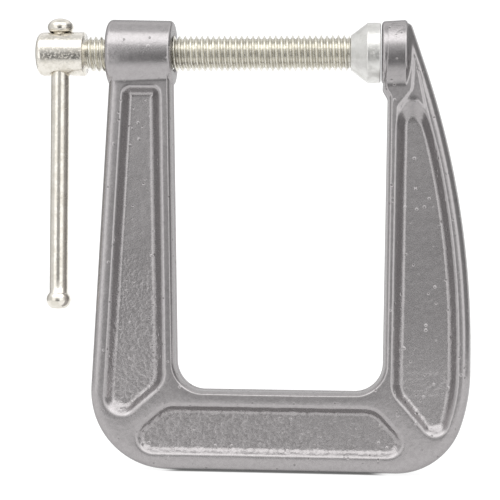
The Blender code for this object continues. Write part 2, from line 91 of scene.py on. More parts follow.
class ClampCasting(bpy.types.PropertyGroup):
    """Sizes of the casting."""
    half_thickness: length("Half thickness", "Parting plane to front face", 5.5)
    spine_height: length("Spine height", "Foot to throat floor", 22.75)
    throat_radius: length("Throat radius", "Rounding of the throat's corners", 7.8)
    heel_radius: length("Heel radius", "Outer rounding under the boss", 22.0)
    toe_radius: length("Toe radius", "Outer rounding under the anvil arm", 19.0)
    toe_height: length("Toe height", "Where the toe turns upright", 21.0)
    toe_lean: degrees("Toe lean", "Lean of the toe's edge", 18.0)
    toe_sweep: length("Toe sweep", "Radius of the toe's upper curve", 48.0)
    arm_lean: degrees("Arm lean", "Lean of the anvil arm's back at its top", 18.7)
    arm_sweep: length("Arm sweep", "Radius of the anvil arm's back", 245.0)
    arm_top_width: length("Arm top width", "Anvil face to the arm's back at the screw", 10.9)
    screw_arm_width: length("Screw arm width", "Width of the arm under the boss", 17.7)
    screw_arm_spread: length("Screw arm spread", "How far the heel stands behind the boss face", 23.95)
    inner_lean: length("Inner lean", "Lean of the screw arm's inner edge", 1.8)
    outer_round: length("Outer edge", "Width of the rounding of outer edges", 2.5)
    inner_round: length("Inner edge", "Width of the rounding of throat edges", 1.3)
    edge_height: length("Edge height", "Height of the rounded edges", 4.3)
    draft: length("Draft", "Lean of the sides up to the rounded edge", 0.25)
    crown: length("Crown", "Bulge of the flat rims", 0.06)
    rim_round: length("Rim rounding", "Half width of the rounding at a recess's rim", 0.45)
    foot_round: length("Foot rounding", "Size of the fillet at a recess's foot", 0.9)
    panel_depth: length("Panel depth", "Depth of the three recesses", 2.8)
    sill_depth: length("Sill depth", "Depth of the spine's recess along its lower wall", 1.45)
    floor_lean: degrees("Floor lean", "How the recesses grow deeper above the sill", 5.2)
    tip_depth: length("Tip depth", "Depth of the pointed recess behind the anvil", 0.35)
    boss_blend: length("Boss blend", "Size of the fillet round the boss", 1.5)
    blend: length("Anvil blend", "Size of the fillet round the anvil", 2.6)
    boss_length: length("Boss length", "Length of the boss", 18.4)
    boss_radius: length("Boss radius", "Mean radius of the boss", 9.35)
    boss_taper: length("Boss taper", "Radius lost from back to front", 0.4)
    boss_back_round: length("Boss back rounding", "Rounding at the head's end", 1.5)
    boss_face_round: length("Boss face rounding", "Rounding at the throat's end", 1.1)
    anvil_length: length("Anvil length", "Length of the anvil's barrel", 7.1)
    anvil_radius: length("Anvil radius", "Mean radius of the anvil", 8.85)
    anvil_taper: length("Anvil taper", "Radius gained from face to back", 0.3)
    bore_radius: length("Bore radius", "Radius of the boss's bore", 5.25)


class ClampScrew(bpy.types.PropertyGroup):
    """Sizes of the screw, its bar and its pad."""
    pitch: length("Pitch", "One turn's travel", 1.5875)
    crest_radius: length("Crest radius", "Radius over the thread", 4.95)
    root_radius: length("Root radius", "Radius in the thread's root", 4.0)
    neck_radius: length("Neck radius", "Radius of the plain necks", 4.1)
    head_inset: length("Head inset", "How far the head starts inside the packed screw", 0.7)
    head_length: length("Head length", "Length of the head", 13.4)
    head_round: length("Head rounding", "Rounding of the head's back edge", 1.6)
    head_radius: length("Head radius", "Radius of the head", 6.15)
    head_neck: length("Head neck", "Plain length before the thread", 1.05)
    hole_radius: length("Cross hole radius", "Radius of the bar's hole", 2.9)
    bar_radius: length("Bar radius", "Radius of the bar", 2.6)
    end_height: length("Upper end height", "Height of the bar's rounded end", 5.1)
    end_radius: length("Upper end radius", "Radius of the bar's rounded end", 3.7)
    foot_height: length("Lower end height", "Full height of the lower end's curve", 6.0)
    foot_radius: length("Lower end radius", "Radius of the lower end", 3.45)
    foot_flat: length("Lower end flat", "Radius of the flat under the lower end", 1.9)
    pad_rim: length("Pad rim", "Length of the pad's cylinder", 3.6)
    pad_radius: length("Pad radius", "Radius of the pad", 8.3)
    pad_skirt_radius: length("Skirt radius", "Radius of the skirt's small end", 4.85)
    pad_mouth_radius: length("Mouth radius", "Radius of the hole round the ball's neck", 2.75)
    ball_neck_radius: length("Ball neck radius", "Radius of the neck inside the pad", 2.3)


class ClampFinish(bpy.types.PropertyGroup):
    """Colours and gloss of the finishes."""
    coat: colour("Coat", "Silver-grey coat on the casting", (0.43, 0.412, 0.415))
    # Also the colour that the painted shade in the recesses and towards the foot darkens to.
    coat_dark: colour("Coat, dark", "Thin or dirty places in the coat", (0.25, 0.237, 0.238))
    coat_metal: number("Coat metal", "Metallic share of the coat", 0.85, subtype="FACTOR", min=0.0, max=1.0)
    plating: colour("Plating", "Warm bright plating", (0.78, 0.75, 0.69))
    plating_dull: colour("Plating, dull", "Duller patches of plating", (0.61, 0.575, 0.505))
    thread: colour("Thread", "Plating on the rolled thread", (0.78, 0.76, 0.69))
    thread_dull: colour("Thread, dull", "Duller patches on the thread", (0.62, 0.595, 0.53))
    pad: colour("Pad", "Pale plating on the pad", (0.72, 0.715, 0.695))
    pad_dull: colour("Pad, dull", "Duller patches on the pad", (0.57, 0.565, 0.54))


class ClampStage(bpy.types.PropertyGroup):
    """Camera and light."""
    yaw: degrees("Yaw", "How far the camera stands to the anvil's side", 4.8)
    roll: degrees("Roll", "Roll of the picture", 0.44)
    distance: length("Distance", "Camera to the parting plane", 392.0)
    aim_x: number("Aim X", "Where the camera aims, along the screw", -7.25 * MM, unit="LENGTH", precision=5)
    aim_z: length("Aim Z", "Where the camera aims, above the foot", 61.7)
    view_angle: degrees("View angle", "Field of view", 20.25)
    room: number("Room", "Glow of the white room", 0.85, min=0.0)
    overhead: number("Overhead light", "Glow of the long light overhead", 1.45, min=0.0)
    panels: number("Side panels", "Glow of the panels beside the camera", 0.55, min=0.0)
    backdrop: number("Backdrop", "Glow of floor and backdrop", 0.88, min=0.0)


def unit(vector):
    """A vector of length one."""
    return vector / np.linalg.norm(vector)


def crossed(first, second):
    """The cross product of two plane vectors, or of arrays of them."""
    return first[..., 0] * second[..., 1] - first[..., 1] * second[..., 0]


def line(start, end, shift=0.0):
    """A point and a direction, moved to the left of the direction."""
    direction = unit(np.subtract(end, start))
    return np.add(start, shift * np.array((-direction[1], direction[0]))), direction


def meet(first, second):
    """The point where two lines cross."""
    (p, d), (q, e) = first, second
    return p + d * crossed(q - p, e) / crossed(d, e)


def level(height):
    """The line along X at one height."""
    return np.array((0.0, height)), np.array((1.0, 0.0))


def corner_arc(before, corner, after, radius, count):
    """Points of the arc that rounds a corner: its centre lies one radius off both legs."""
    arriving = unit(corner - before)
    leaving = unit(after - corner)
    turn = math.atan2(crossed(arriving, leaving), float(arriving @ leaving))
    inward = np.array((-arriving[1], arriving[0])) * np.sign(turn)
    centre = corner - arriving * radius * math.tan(abs(turn) / 2) + inward * radius
    angle = np.linspace(0.0, abs(turn), count)[:, None]
    return centre + radius * (np.sin(angle) * arriving - np.cos(angle) * inward)


def open_path(corners, radii, count=40):
    """A path of straight legs with rounded corners, its lengths, and those where arcs start and end."""
    corners = np.asarray(corners)
    arcs = [corner_arc(*corners[i - 1:i + 2], radii[i - 1], count) for i in range(1, len(corners) - 1)]
    path = np.concatenate([corners[:1], *arcs, corners[-1:]])
    steps = np.linalg.norm(np.diff(path, axis=0), axis=1)
    lengths = np.concatenate([[0.0], np.cumsum(steps)])
    ends = [(lengths[1 + i * count], lengths[(i + 1) * count]) for i in range(len(arcs))]
    return path, lengths, ends


def closed_loop(corners, radii, runs, swell=0.0, count=14):
    """A closed outline with rounded corners, and each point's wall run.

    Radii and runs are in millimetres. An arc goes from one run to the next, and the first arc, at a
    recess's lowest corner, swells on the way.
    """
    corners = np.asarray(corners)
    radii, runs = np.array((radii, runs)) * MM
    size = len(corners)
    arcs = []
    walls = []
    for i in range(size):
        arcs.append(corner_arc(corners[i - 1], corners[i], corners[(i + 1) % size], radii[i], count))
        walls.append(np.linspace(runs[i - 1], runs[i], count))
    walls[0] += swell * np.sin(np.linspace(0.0, math.pi, count))
    return np.concatenate(arcs), np.concatenate(walls)


def inside_distance(points, loop, walls):
    """How far points lie inside an outline, negative outside, and the wall run of the nearest stretch."""
    start = loop[None]
    leg = np.roll(loop, -1, axis=0)[None] - start
    offset = points[:, None] - start
    share = np.clip((offset * leg).sum(-1) / (leg * leg).sum(-1), 0.0, 1.0)
    gap = np.linalg.norm(offset - share[..., None] * leg, axis=-1)
    nearest = gap.argmin(1)
    row = np.arange(len(points))
    run = walls[nearest] + share[row, nearest] * (np.roll(walls, -1)[nearest] - walls[nearest])
    low = offset[..., 1] < 0
    crossing = low != ((offset - leg)[..., 1] < 0)
    leg_z = np.where(leg[..., 1] == 0, 1e-12, leg[..., 1])
    left = offset[..., 0] < leg[..., 0] * offset[..., 1] / leg_z
    inside = (crossing & left).sum(1) % 2 == 1
    return np.where(inside, 1.0, -1.0) * gap[row, nearest], run


def soft_positive(value, width):
    """Nothing below -width, the value itself above width, and a parabola between."""
    middle = (value + width) ** 2 / (4 * width)
    return np.where(value <= -width, 0.0, np.where(value >= width, value, middle))


def soft_ramp(value, rounding):
    """A ramp from 0 to 1 whose two ends are rounded."""
    return soft_positive(value, rounding) - soft_positive(value - 1.0, rounding)


def soft_highest(first, second, size):
    """The higher of two surfaces, with a fillet where they meet."""
    near = np.clip(size - np.abs(first - second), 0.0, None) / size
    return np.maximum(first, second) + near * near * size / 4


def smooth_mesh(name, points, faces, material):
    """A smooth mesh with one material."""
    mesh = bpy.data.meshes.new(name)
    mesh.from_pydata(points.tolist(), [], faces)
    mesh.polygons.foreach_set("use_smooth", np.ones(len(mesh.polygons), dtype=bool))
    mesh.materials.append(material)
    return mesh


def new_piece(name, points, faces, body, slot, finish, node, recess=None):
    """A piece at the origin that rides on a body and replaces a node, with each point's share of recess."""
    mesh = smooth_mesh(name, points, faces, finish_of(finish))
    if recess is not None:
        layer = mesh.attributes.new("recess", "FLOAT", "POINT")
        layer.data.foreach_set("value", recess.astype(np.float32))
    mesh.update()
    piece = bpy.data.objects.new(name, mesh)
    bpy.context.scene.collection.objects.link(piece)
    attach(piece, body)
    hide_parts(node)


def tube_faces(rings, around, endless):
    """Quads between neighbouring rings of a tube. An endless one joins its last ring to its first."""
    ring = np.arange(rings if endless else rings - 1)[:, None]
    place = np.arange(around)[None]
    beside = (place + 1) % around
    after = (ring + 1) % rings
    quads = np.stack([ring * around + place, ring * around + beside,
                      after * around + beside, after * around + place], axis=-1)
    return quads.reshape(-1, 4).tolist()


def tube(points, endless=False):
    """Points and faces of a tube from an array of rings. Its ends are closed with a fan to their middle."""
    rings, around = points.shape[:2]
    flat = points.reshape(-1, 3)
    faces = tube_faces(rings, around, endless)
    if endless:
        return flat, faces
    middles = np.stack([points[0].mean(0), points[-1].mean(0)])
    place = np.arange(around)
    beside = (place + 1) % around
    first = np.full(around, len(flat))
    last = (rings - 1) * around
    start_fan = np.stack([first, beside, place], axis=-1)
    end_fan = np.stack([first + 1, last + place, last + beside], axis=-1)
    return np.concatenate([flat, middles]), faces + start_fan.tolist() + end_fan.tolist()


def circle(sides):
    """Even angles round a circle."""
    return np.linspace(0.0, math.tau, sides, endpoint=False)


def turned(places, radii, sides, upright=False):
    """Rings of a body of revolution: each place along the axis carries a circle of its radius.

    The radii may also be an array of places by sides, for a surface that isn't quite round.
    """
    angle = circle(sides)
    radii = np.asarray(radii)
    if radii.ndim == 1:
        radii = np.repeat(radii[:, None], sides, axis=1)
    along = np.repeat(np.asarray(places)[:, None], sides, axis=1)
    axes = [along, radii * np.cos(angle), radii * np.sin(angle)]
    return np.stack(axes[1:] + axes[:1] if upright else axes, axis=-1)


def about_screw(places, radii, sides):
    """Rings of a body turned about the screw's axis."""
    return turned(places, radii, sides) + (0.0, 0.0, SCREW_Z)


def quarter(place, radius, rounding, inward, count=8):
    """Profile points round an end's edge, from its side to its face: a quarter circle."""
    angle = np.linspace(0.0, math.pi / 2, count)
    along = place + inward * rounding * (1 - np.sin(angle))
    return np.stack([along, radius - rounding * (1 - np.cos(angle))], -1)


class Socket:
    """A node's output on which sums can be written: each operator adds a Math node."""

    def __init__(self, nodes, output):
        self.nodes = nodes
        self.output = output

    def math(self, operation, first, second):
        return self.nodes.make("ShaderNodeMath", {"operation": operation}, {0: first, 1: second}, 0)

    def __add__(self, other):
        return self.math("ADD", self, other)

    __radd__ = __add__

    def __sub__(self, other):
        return self.math("SUBTRACT", self, other)

    def __rsub__(self, other):
        return self.math("SUBTRACT", other, self)

    def __mul__(self, other):
        return self.math("MULTIPLY", self, other)

    __rmul__ = __mul__

    def __abs__(self):
        return self.math("ABSOLUTE", self, 0.0)

    def highest(self, other):
        return self.math("MAXIMUM", self, other)


class Nodes:
    """Builds one node tree."""

    def __init__(self, tree):
        self.tree = tree

    def make(self, kind, settings, values, output):
        """Add a node of a kind, with its settings and its sockets' values or links, and give one output."""
        node = self.tree.nodes.new(kind)
        for name, value in settings.items():
            setattr(node, name, value)
        self.fill(node, values)
        return Socket(self, node.outputs[output])

    def fill(self, node, values):
        """Give a node's sockets their values or links."""
        for key, value in values.items():
            if isinstance(value, Socket):
                self.tree.links.new(value.output, node.inputs[key])
            else:
                node.inputs[key].default_value = value

    def millimetres(self):
        """Object coordinates in millimetres."""
        place = self.make("ShaderNodeTexCoord", {}, {}, "Object")
        return self.make("ShaderNodeVectorMath", {"operation": "SCALE"}, {0: place, "Scale": 1 / MM}, 0)

    def parts(self, vector, axes):
        """The named components of a vector."""
        return [self.make("ShaderNodeSeparateXYZ", {}, {0: vector}, axis) for axis in axes]

    def recess(self):
        """The share of recess that the mesh carries at each point."""
        return self.make("ShaderNodeAttribute", {"attribute_name": "recess"}, {}, "Fac")

    def noise(self, place, scale, detail=2.0, roughness=0.5):
        """Noise from 0 to 1 with about scale lumps a millimetre."""
        return self.make("ShaderNodeTexNoise", {},
                         {"Vector": place, "Scale": scale, "Detail": detail, "Roughness": roughness}, "Fac")

    def spots(self, place, scale):
        """Distance to scattered points, about scale of them a millimetre."""
        sockets = {"Vector": place, "Scale": scale}
        return self.make("ShaderNodeTexVoronoi", {"feature": "F1"}, sockets, "Distance")

    def step(self, value, low, high):
        """A smooth step from 0 at low to 1 at high."""
        return self.make("ShaderNodeMapRange", {"interpolation_type": "SMOOTHSTEP"},
                         {"Value": value, "From Min": low, "From Max": high}, "Result")

    def blend(self, share, first, second):
        """A colour between two."""
        return self.make("ShaderNodeMix", {"data_type": "RGBA"}, {0: share, 6: first, 7: second}, 2)

    def bump(self, height):
        """A normal from a height in millimetres."""
        sockets = {"Height": height, "Distance": MM, "Strength": 1.0}
        return self.make("ShaderNodeBump", {}, sockets, "Normal")


def solid(shade):
    """A colour with full alpha."""
    return (*shade, 1.0)


def grey(share):
    """A grey with full alpha."""
    return (share, share, share, 1.0)


def new_finish(name):
    """An empty material with its shader and its node builder."""
    material = bpy.data.materials.new(name)
    material.use_nodes = True
    return material, material.node_tree.nodes["Principled BSDF"], Nodes(material.node_tree)


def casting_finish(finish, name):
    """Silver-grey coat over a sand casting.

    Broad waves, lumps, orange peel and grain, coarser in the recesses and towards the foot; raised nodules
    and dark pits; and dirty pebbles in the recesses near the heel. Painted shade darkens the recesses, and
    more of it darkens the coat towards the foot. Heights are in millimetres, and scales in lumps a
    millimetre.
    """
    material, shader, nodes = new_finish(name)
    place = nodes.millimetres()
    recess = nodes.recess()
    across, above_foot = nodes.parts(place, "XZ")
    heel_side = 1.0 - nodes.step(above_foot + across * 0.8, 14.0, 44.0)
    coarse = (recess * 0.9 + 0.1) * (2.7 - 1.95 * nodes.step(above_foot, 18.0, 72.0))
    sandy = coarse * (1.0 - 0.6 * heel_side)
    pebbly = heel_side * recess
    waves = nodes.noise(place, 0.12, 1.0)
    lumps = nodes.noise(place, 0.38, 2.0)
    peel = nodes.noise(place, 0.75, 2.0)
    grain = nodes.noise(place, 2.6, 3.0, 0.62)
    pebbles = nodes.noise(place, 1.15, 2.0)
    nodules = 1.0 - nodes.step(nodes.spots(place, 0.27), 0.06, 0.15)
    pits = 1.0 - nodes.step(nodes.spots(place, 0.32), 0.07, 0.14)
    height = waves * 0.16 + peel * (0.010 + coarse * 0.048) + grain * (0.002 + sandy * 0.016)
    height = height + lumps * coarse * 0.06 + nodules * (0.05 + coarse * 0.03) - pits * 0.07
    height = height + pebbles * pebbly * 0.13
    # Painted shade: the coat is darker towards the foot, fully below 8 mm and fading out by 30 mm.
    low = 1.0 - nodes.step(above_foot, 8.0, 30.0)
    dirt = (1.0 - nodes.step(pebbles, 0.38, 0.52)) * pebbly
    # Random tone, dark pits, and painted shade from the recess share (on the boss it follows the blistered
    # band).
    tone_and_shade = nodes.step(grain * 0.55 + peel * 0.45, 0.36, 0.60) * 0.25 - pits * 0.7 - recess * 0.10
    tone_and_shade = tone_and_shade - 0.22 * low - dirt * 0.32
    shade = nodes.blend(tone_and_shade + 0.72, solid(finish.coat_dark), solid(finish.coat))
    nodes.fill(shader, {
        "Base Color": shade,
        "Roughness": 0.19 + grain * 0.08 + recess * 0.04,
        "Normal": nodes.bump(height),
        "Metallic": finish.coat_metal,
        "Specular Tint": grey(0.6),
    })
    return material


# Each plating's colours, its roughness, how much rougher it is where worn, and how deep its marks are.
PLATINGS = {
    "warm_plating": ("plating", 0.12, 0.08, 1.0),
    "bar_plating": ("plating", 0.12, 0.08, 0.4),
    "thread_plating": ("thread", 0.13, 0.07, 1.0),
    "pale_plating": ("pad", 0.30, 0.12, 1.0),
}
# Colour of the painted shade in the thread's grooves.
GROOVE_SHADE = (0.14, 0.135, 0.12)


def plating_finish(finish, name):
    """Bright plating: cloudy dull patches, fine grain, faint handling marks, and painted shade in the
    grooves.
    """
    field, gloss, spread, wear = PLATINGS[name]
    bright = getattr(finish, field)
    dull = getattr(finish, field + "_dull")
    material, shader, nodes = new_finish(name)
    place = nodes.millimetres()
    clouds = nodes.noise(place, 0.35, 3.0, 0.6)
    grain = nodes.noise(place, 4.0, 2.0)
    marks = nodes.step(nodes.noise(place, 1.5, 4.0, 0.7), 0.52, 0.68)
    worn = nodes.step(clouds, 0.38, 0.66)
    grooves = nodes.recess()
    metal = nodes.blend(worn * 0.6 + marks * 0.25, solid(bright), solid(dull))
    nodes.fill(shader, {
        # Painted shade: the colour darkens with the depth in the thread's groove.
        "Base Color": nodes.blend(grooves * 0.20, metal, solid(GROOVE_SHADE)),
        "Roughness": gloss + worn * spread + marks * 0.10,
        "Normal": nodes.bump((clouds * 0.020 + grain * 0.004 + marks * 0.022) * wear),
        "Metallic": 1.0,
    })
    return material


def finish_of(name):
    """A finish by its name, made the first time that it is asked for."""
    make = plating_finish if name in PLATINGS else casting_finish
    return bpy.data.materials.get(name) or make(bpy.context.scene.clamp_finish, name)


class Outline:
    """The casting's outline on its parting plane, and the panels on its face.

    The relief is the notch under the anvil, where its barrel gives way to the arm.
    """
    BARREL_LIFT = 3.4 * MM
    HEEL_BAND = 2.33 * MM
    TOE_BAND = 3.0 * MM
    CORNER_SWELL = 1.3 * MM

    def __init__(self, sizes):
        s = self.sizes = sizes
        setback, top_drop, anvil_lean = 0.3 * MM, 0.7 * MM, 0.85 * MM
        relief_drop, relief_inset, relief_lift = 14.0 * MM, 1.7 * MM, 0.9 * MM
        boss_x = BOSS_FACE - setback
        self.anvil_x = ANVIL_FACE + setback
        self.relief_z = SCREW_Z - relief_drop
        self.top = SCREW_Z + s.anvil_radius - top_drop
        toe_x = FRAME_HIGH.x
        reach = toe_x - ANVIL_FACE - s.arm_top_width
        shoulder_x = ANVIL_FACE + s.arm_top_width - (self.top - SCREW_Z) * math.tan(s.arm_lean)
        self.boss_front = np.array((boss_x, SCREW_Z))
        self.boss_back = np.array((boss_x - s.screw_arm_width, SCREW_Z))
        self.heel = np.array((BOSS_FACE - s.screw_arm_spread, 0.0))
        self.toe_base = np.array((toe_x - s.toe_height * math.tan(s.toe_lean), 0.0))
        self.toe = np.array((toe_x, s.toe_height))
        self.sweep = np.array((toe_x, SCREW_Z - reach / math.tan(s.arm_lean)))
        self.shoulder = np.array((shoulder_x, self.top))
        self.relief = np.array((ANVIL_FACE + relief_inset, self.relief_z + relief_lift))
        self.anvil_throat = np.array((ANVIL_FACE + anvil_lean, s.spine_height))
        self.screw_throat = np.array((BOSS_FACE + s.inner_lean, s.spine_height))

    def inner_path(self, start_z):
        """The throat's edge from the boss round to the anvil."""
        start = meet(line(self.screw_throat, self.boss_front), level(start_z))
        anvil_bottom = np.array((self.anvil_x, self.relief_z + self.BARREL_LIFT))
        end_inset, end_drop = 0.6 * MM, 3.0 * MM
        end = np.array((self.anvil_x + end_inset, self.top - end_drop))
        corners = [start, self.screw_throat, self.anvil_throat, self.relief, anvil_bottom, end]
        throat, notch = self.sizes.throat_radius, 1.3 * MM
        return open_path(corners, [throat, throat, notch, notch])

    def outer_path(self, start_z):
        """The outside from the boss round the heel, the foot and the toe to the anvil's top."""
        s = self.sizes
        start = meet(line(self.boss_back, self.heel), level(start_z))
        end_inset, shoulder_radius = 3.4 * MM, 1.6 * MM
        end = np.array((self.anvil_x + end_inset, self.top))
        corners = [start, self.heel, self.toe_base, self.toe, self.sweep, self.shoulder, end]
        return open_path(corners, [s.heel_radius, s.toe_radius, s.toe_sweep, s.arm_sweep, shoulder_radius])

    def heel_band(self, shift):
        """A line along the flat band across the corner under the boss, shifted off its middle."""
        angle = math.radians(41.0)
        lift = 1.1 * MM
        return line(self.screw_throat, self.screw_throat + (math.cos(angle), math.sin(angle)), lift + shift)

    def toe_band(self, shift):
        """A line along the flat band across the corner under the anvil's arm, shifted off its middle."""
        angle = math.radians(131.5)
        fall = 1.6 * MM
        start = self.anvil_throat - (0.0, fall)
        return line(start, start + (math.cos(angle), math.sin(angle)), shift)

    def screw_arm_panel(self):
        """Rim of the recess in the screw's arm, with its wall runs."""
        below_boss, outer_rim, inner_rim = 0.4 * MM, 4.7 * MM, 3.2 * MM
        top = level(SCREW_Z - self.sizes.boss_radius - below_boss)
        outer = line(self.boss_back, self.heel, outer_rim)
        inner = line(self.screw_throat, self.boss_front, inner_rim)
        lower = self.heel_band(self.HEEL_BAND)
        corners = [meet(outer, lower), meet(lower, inner), meet(inner, top), meet(top, outer)]
        radii, runs = (4.6, 7.2, 2.2, 2.2), (2.0, 2.6, 1.8, 2.0)
        return closed_loop(corners, radii, runs, self.CORNER_SWELL)

    def spine_panel(self):
        """Rim of the recess in the spine, with its wall runs."""
        throat_rim, foot_rim = 4.3 * MM, 5.0 * MM
        heel = self.heel_band(-self.HEEL_BAND)
        toe = self.toe_band(self.TOE_BAND)
        top = level(self.sizes.spine_height - throat_rim)
        bottom = level(foot_rim)
        corners = [meet(heel, bottom), meet(bottom, toe), meet(toe, top), meet(top, heel)]
        radii, runs = (4.6, 4.0, 7.2, 6.6), (2.4, 2.0, 2.0, 2.0)
        return closed_loop(corners, radii, runs)

    def anvil_arm_panel(self):
        """Rim of the recess in the anvil's arm, which follows the sweep of its back."""
        s = self.sizes
        rim, inner_rim, tail = 3.9 * MM, 2.6 * MM, 0.5 * MM
        ramp_gap, ramp_fall, apex_lift = 0.9 * MM, 1.3 * MM, 2.0 * MM
        short_of_top = math.radians(4.2)
        lower = line(self.toe_base, self.toe, rim)
        outer = line(self.toe, self.sweep, rim)
        turn = s.arm_lean - short_of_top
        centre = self.sweep - (s.arm_sweep, s.arm_sweep * math.tan(s.arm_lean / 2))
        outward = np.array((math.cos(turn), math.sin(turn)))
        upper = centre + outward * (s.arm_sweep - rim), np.array((-outward[1], outward[0]))
        inner = line(self.relief, self.anvil_throat, inner_rim)
        foot = self.toe_band(-self.TOE_BAND)
        ramp_top = np.array((ANVIL_FACE + s.anvil_length + ramp_gap, self.relief_z + self.BARREL_LIFT))
        ramp_foot = meet(inner, level(self.relief_z - ramp_fall))
        apex = np.array((ramp_top[0] + ramp_gap, SCREW_Z + apex_lift))
        outer_end = meet(upper, level(self.relief_z)) + (tail, 0.0)
        corners = [meet(foot, lower), meet(lower, outer), meet(outer, upper), outer_end, apex, ramp_top,
                   ramp_foot, meet(inner, foot)]
        radii = (3.4, 43.8, 240.8, 14.0, 0.3, 1.6, 2.6, 7.2)
        runs = (2.0, 2.0, 2.0, 2.0, 2.0, 2.2, 2.4, 2.0)
        return closed_loop(corners, radii, runs, self.CORNER_SWELL)

    def full_depth(self, points):
        """Depth of the recesses without the ramp: it grows from the spine's sill until it is even."""
        s = self.sizes
        sill_z = 6.0 * MM
        return np.minimum(s.panel_depth, s.sill_depth + (points[:, 1] - sill_z) * math.tan(s.floor_lean))

    def floor_depth(self, points):
        """Depth of the recesses' floors, which behind the anvil climb an arched ramp to a shallow tip."""
        depth = self.full_depth(points)
        middle, reach, bend = 8.6 * MM, 6.0 * MM, 3.0 * MM
        start, run, rounding = 4.6 * MM, 5.6 * MM, 0.16
        aside = np.clip(points[:, 0] - ANVIL_FACE - middle, -reach, reach)
        arch = points[:, 1] + aside ** 2 / bend
        climb = soft_ramp((arch - self.relief_z + start) / run, rounding)
        climb = np.where(points[:, 0] > 0, climb, 0.0)
        return depth + climb * (self.sizes.tip_depth - depth)


def casting_height(outline, points, edge):
    """Height of the front face over the parting plane, and how far it is recessed.

    The face is flat with a slight crown between its edge and the nearest rim. Inside a rim it falls at the
    slope of that wall until it meets the floor, with rounded rim and foot. The boss, a circle about the
    screw's axis that sinks towards its ends, and the anvil, whose circle is drawn out downwards, raise it
    with a fillet. Both stay just beneath their own barrels.
    """
    far_off, beneath, end_fade = 0.1, 0.008 * MM, 1.6 * MM
    stretch, back_start, back_slope = 0.84, 0.6 * MM, 3.0
    s = outline.sizes
    x, z = points[:, 0], points[:, 1]
    floor = outline.floor_depth(points)
    depth = np.zeros(len(points))
    rim = np.full(len(points), far_off)
    for panel in (outline.screw_arm_panel(), outline.spine_panel(), outline.anvil_arm_panel()):
        inside, run = inside_distance(points, *panel)
        wall = soft_positive(inside, s.rim_round) * s.panel_depth / run
        lowest = -soft_highest(-wall, -floor, s.foot_round)
        depth = np.maximum(depth, lowest)
        rim = np.minimum(rim, np.clip(-inside, 0.0, None))
    depth = np.clip(depth, 0.0, None)
    crown = s.crown * 4 * edge * rim / (edge + rim + 1e-9) ** 2
    face = s.half_thickness + crown - depth
    above = z - SCREW_Z
    straight = s.boss_length - s.boss_back_round - s.boss_face_round
    along = np.clip((BOSS_FACE - s.boss_face_round - x) / straight, 0.0, 1.0)
    boss_radius = s.boss_radius + s.boss_taper * (along - 0.5)
    to_end = np.minimum(BOSS_FACE - x, x - BOSS_FACE + s.boss_length)
    end_drop = np.clip(end_fade - to_end, 0.0, None) ** 2 / end_fade
    boss = np.sqrt(np.clip(boss_radius ** 2 - above ** 2, 0.0, None)) - beneath - end_drop
    boss = np.where(x < 0, boss, -1.0)
    stretched = np.where(above < 0, stretch * above, above)
    past = x - (ANVIL_FACE + s.anvil_length - back_start)
    anvil = np.sqrt(np.clip(s.anvil_radius ** 2 - stretched ** 2, 0.0, None)) - beneath
    anvil = np.where(x > 0, anvil - back_slope * np.clip(past, 0.0, None), -1.0)
    face = soft_highest(face, boss, s.boss_blend)
    face = soft_highest(face, anvil, s.blend)
    return face, depth / outline.full_depth(points)


def casting_section(s, sides=3, rounds=10, across=60):
    """One half of the casting's section from the throat's edge to the outside.

    Each point lies at start + share * width from the throat's edge. Sides lean by the draft, edges are
    quarter ellipses, and the face between them gets its height later: there the height is nan.
    """
    below = s.half_thickness - s.edge_height
    up = np.linspace(0.0, 1.0, sides, endpoint=False)
    angle = np.linspace(0.0, math.pi / 2, rounds)
    edge = np.concatenate([up * 0.0, 1 - np.cos(angle)])
    height = np.concatenate([up * below, below + s.edge_height * np.sin(angle)])
    lean = np.concatenate([up, np.ones(rounds)]) * s.draft
    inner = lean + edge * (s.inner_round - s.draft)
    outer = lean + edge * (s.outer_round - s.draft)
    share = np.linspace(0.0, 1.0, across)[1:-1]
    face_start = s.inner_round - share * (s.inner_round + s.outer_round)
    start = np.concatenate([inner, face_start, -outer[::-1]])
    shares = np.concatenate([np.zeros(len(inner)), share, np.ones(len(outer))])
    heights = np.concatenate([height, np.full(len(share), np.nan), height[::-1]])
    return start, shares, heights


def casting_rings(s, stations=560):
    """The C body: a section carried along the throat's edge and the outside, matched leg by leg.

    Returns rings of points and the recess share of each point.
    """
    outline = Outline(s)
    clear_of_bore = 0.2 * MM
    start_z = SCREW_Z - s.bore_radius - clear_of_bore
    inner, inner_lengths, inner_ends = outline.inner_path(start_z)
    outer, outer_lengths, outer_ends = outline.outer_path(start_z)
    inner_marks = [0.0, *inner_ends[0], *inner_ends[1], inner_lengths[-1]]
    outer_marks = [0.0, *outer_ends[0], outer_ends[1][0], outer_ends[2][1], outer_lengths[-1]]
    station_marks = (np.array(inner_marks) + np.array(outer_marks)) / 2
    station = np.linspace(0.0, station_marks[-1], stations)
    inner_at = np.interp(station, station_marks, inner_marks)
    outer_at = np.interp(station, station_marks, outer_marks)
    inside = np.stack([np.interp(inner_at, inner_lengths, inner[:, k]) for k in (0, 1)], -1)
    outside = np.stack([np.interp(outer_at, outer_lengths, outer[:, k]) for k in (0, 1)], -1)
    span = outside - inside
    width = np.linalg.norm(span, axis=1)
    start, share, height = casting_section(s)
    along = start[None] + share[None] * width[:, None]
    plane = inside[:, None] + along[..., None] * (span / width[:, None])[:, None]
    inward = np.clip(np.minimum(along - s.inner_round, width[:, None] - s.outer_round - along), 0.0, None)
    face, recess = casting_height(outline, plane.reshape(-1, 2), inward.reshape(-1))
    face = face.reshape(along.shape)
    recess = recess.reshape(along.shape)
    rounded = np.nan_to_num(height) * np.clip(face / s.half_thickness, 1.0, None)
    front = np.where(np.isnan(height)[None], face, rounded)
    near = np.stack([plane[..., 0], -front, plane[..., 1]], axis=-1)
    far = near[:, -2:0:-1] * (1.0, -1.0, 1.0)
    recess = np.concatenate([recess, recess[:, -2:0:-1]], axis=1)
    return np.concatenate([near, far], axis=1), recess


